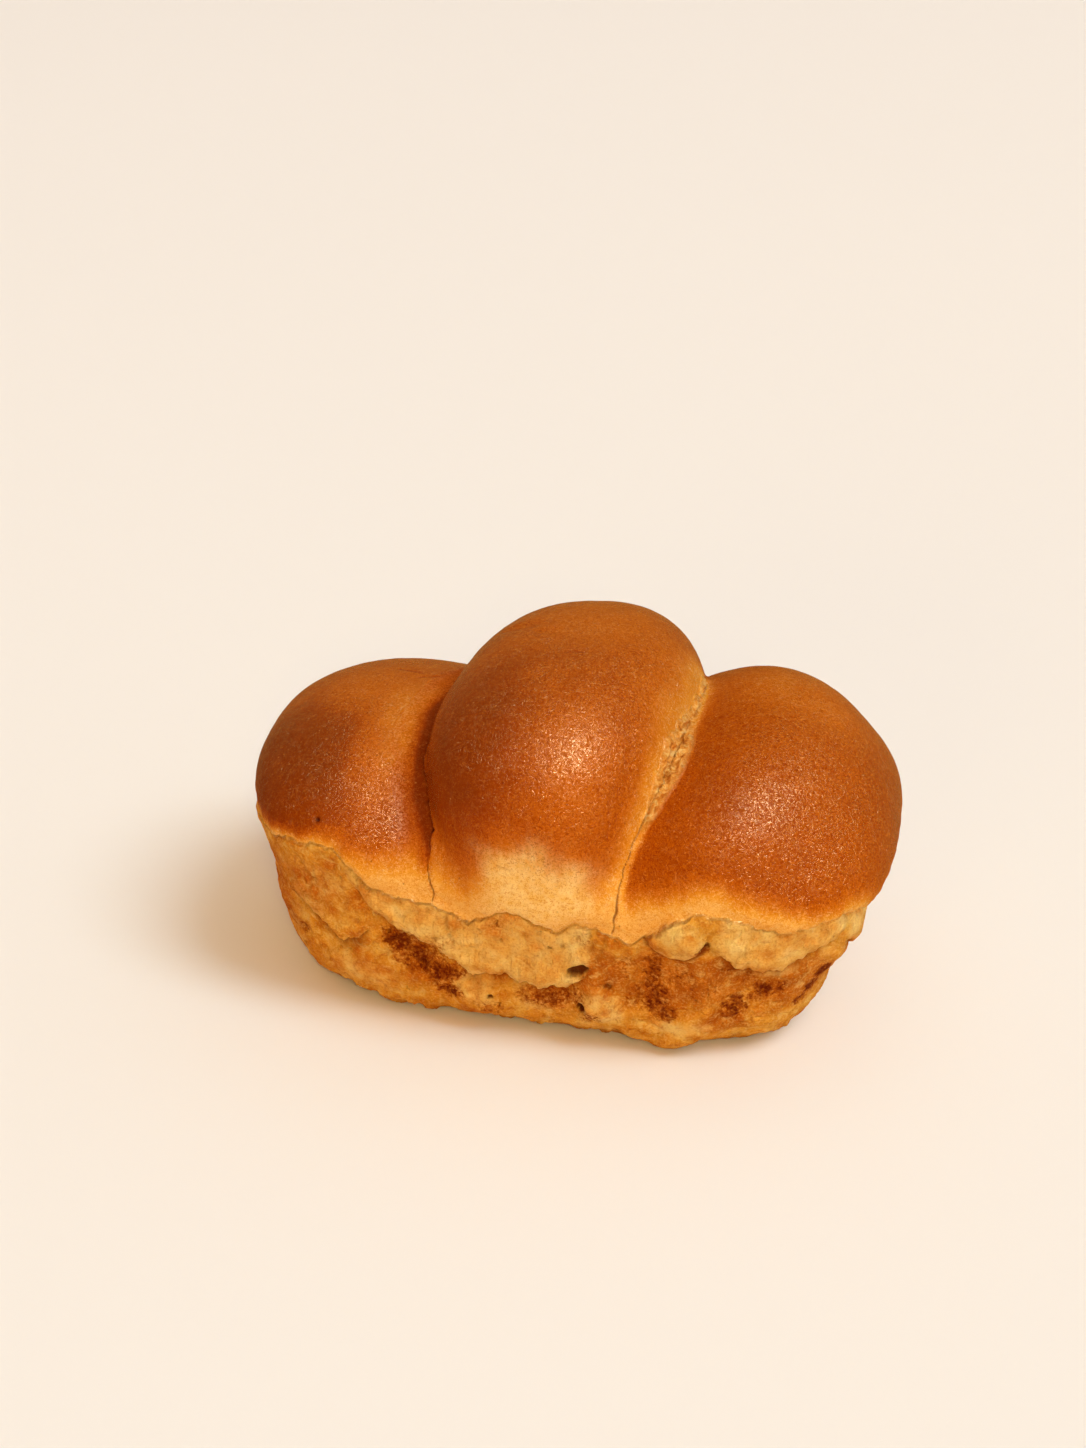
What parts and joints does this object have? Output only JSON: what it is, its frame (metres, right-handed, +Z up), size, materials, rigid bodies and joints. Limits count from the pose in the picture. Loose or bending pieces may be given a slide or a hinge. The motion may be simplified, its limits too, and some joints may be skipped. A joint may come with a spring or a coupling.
{
  "type": "brioche",
  "caption": "Small brioche loaf of joined, domed buns with a glossy brown top crust, pale tin-shaped sides and a flat underside to rest on.",
  "frame": {"origin": "centre of the loaf's footprint box, at the underside it rests on", "axes": "+X along the loaf's length, towards the bun at the right of the picture, +Y from the pictured front side to the back, +Z up"},
  "size_m": [0.1308, 0.081, 0.0723],
  "materials": {
    "crust": "satin, egg-washed baked crust"
  },
  "bodies": {
    "root": {"brioche": "crust"}
  },
  "joints": []
}
